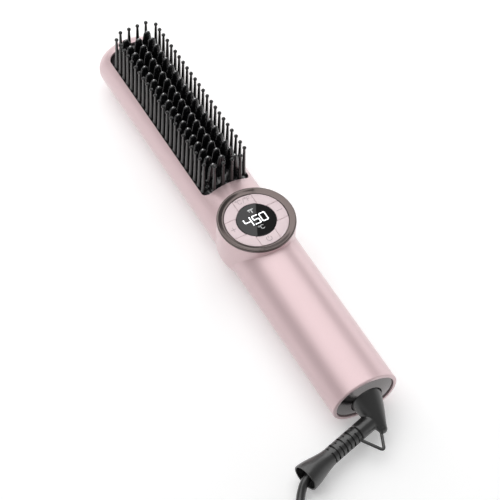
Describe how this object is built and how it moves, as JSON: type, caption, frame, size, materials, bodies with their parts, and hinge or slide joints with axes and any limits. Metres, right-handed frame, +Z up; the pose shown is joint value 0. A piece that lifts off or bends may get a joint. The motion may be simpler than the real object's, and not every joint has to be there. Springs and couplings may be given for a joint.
{
  "type": "hair straightener brush",
  "caption": "Heated steam straightening brush lying on its back: oval tube body, round control pod with keys and display, swivel cord with coiled lead and plug.",
  "frame": {"origin": "middle of the housing with its end cap, on the surface it rests on", "axes": "+X along the housing toward the cord, +Z up out of the bristles, +Y to the side that faces the viewer's right in the picture"},
  "size_m": [0.4225, 0.1435, 0.0538],
  "materials": {
    "pink_shell": "satin metallic rose",
    "bezel_metal": "satin",
    "black_bristle": "gloss",
    "ceramic_coat": "gloss",
    "black_lens": "gloss",
    "steel": "satin",
    "aluminium": "satin",
    "brass": "satin",
    "circuit_board": "satin",
    "inner_plastic": "matte",
    "clear_rubber": "satin",
    "tank_plastic": "gloss",
    "lead_sleeve": "matte",
    "dark_metallic": "satin metallic",
    "dark_rubber": "matte",
    "cord_rubber": "satin"
  },
  "bodies": {
    "housing": {"front_shell": "pink_shell", "back_shell": "pink_shell", "shell_screws": "steel", "bristle_frame": "black_bristle", "heater_plate": "ceramic_coat", "heating_elements": "aluminium", "element_clamp": "steel", "clamp_screws": "steel", "mica_sheet": "inner_plastic", "thermistor": "brass", "thermal_fuse": "aluminium", "evaporator": "aluminium", "water_tube": "clear_rubber", "pump": "inner_plastic", "tank_tube": "clear_rubber", "water_tank": "tank_plastic", "filler_seal": "clear_rubber", "bezel_ring": "bezel_metal", "key_ring": "pink_shell", "display_lens": "black_lens", "display_module": "inner_plastic", "display_board": "circuit_board", "tact_switches": "steel", "board_screws": "steel", "main_board": "circuit_board", "transformer": "inner_plastic", "capacitors": "inner_plastic", "relay": "inner_plastic", "terminal_block": "inner_plastic", "ribbon_cable": "lead_sleeve", "heater_leads": "lead_sleeve", "power_leads": "lead_sleeve", "end_cap": "dark_metallic", "swivel_bush": "inner_plastic", "contact_block": "inner_plastic", "contact_springs": "brass"},
    "power_key": {"key_power": "pink_shell"},
    "mode_key": {"key_mode": "pink_shell"},
    "plus_key": {"key_plus": "pink_shell"},
    "minus_key": {"key_minus": "pink_shell"},
    "filler": {"filler_plug": "dark_rubber"},
    "cord_set": {"cord_elbow": "cord_rubber", "swivel_clip": "steel", "slip_rings": "brass", "hang_loop": "cord_rubber", "cord_lead": "cord_rubber", "cord_coil": "cord_rubber", "cord_tail": "cord_rubber", "plug_body": "cord_rubber", "plug_blades": "steel"}
  },
  "joints": [
    {"name": "power_key_press", "type": "slide", "parent": "housing", "child": "power_key", "axis": [0, 0, -1], "range_m": [0, 0.0004], "stiffness_N_per_m": 3000},
    {"name": "mode_key_press", "type": "slide", "parent": "housing", "child": "mode_key", "axis": [0, 0, -1], "range_m": [0, 0.0004], "stiffness_N_per_m": 3000},
    {"name": "plus_key_press", "type": "slide", "parent": "housing", "child": "plus_key", "axis": [0, 0, -1], "range_m": [0, 0.0004], "stiffness_N_per_m": 3000},
    {"name": "minus_key_press", "type": "slide", "parent": "housing", "child": "minus_key", "axis": [0, 0, -1], "range_m": [0, 0.0004], "stiffness_N_per_m": 3000},
    {"name": "filler_plug_pull", "type": "slide", "parent": "housing", "child": "filler", "axis": [0, 1, 0], "range_m": [0, 0.012]},
    {"name": "cord_swivel", "type": "hinge", "parent": "housing", "child": "cord_set", "pos_m": [0.1457, 0, 0.0167], "axis": [1, 0, 0], "continuous": true}
  ]
}
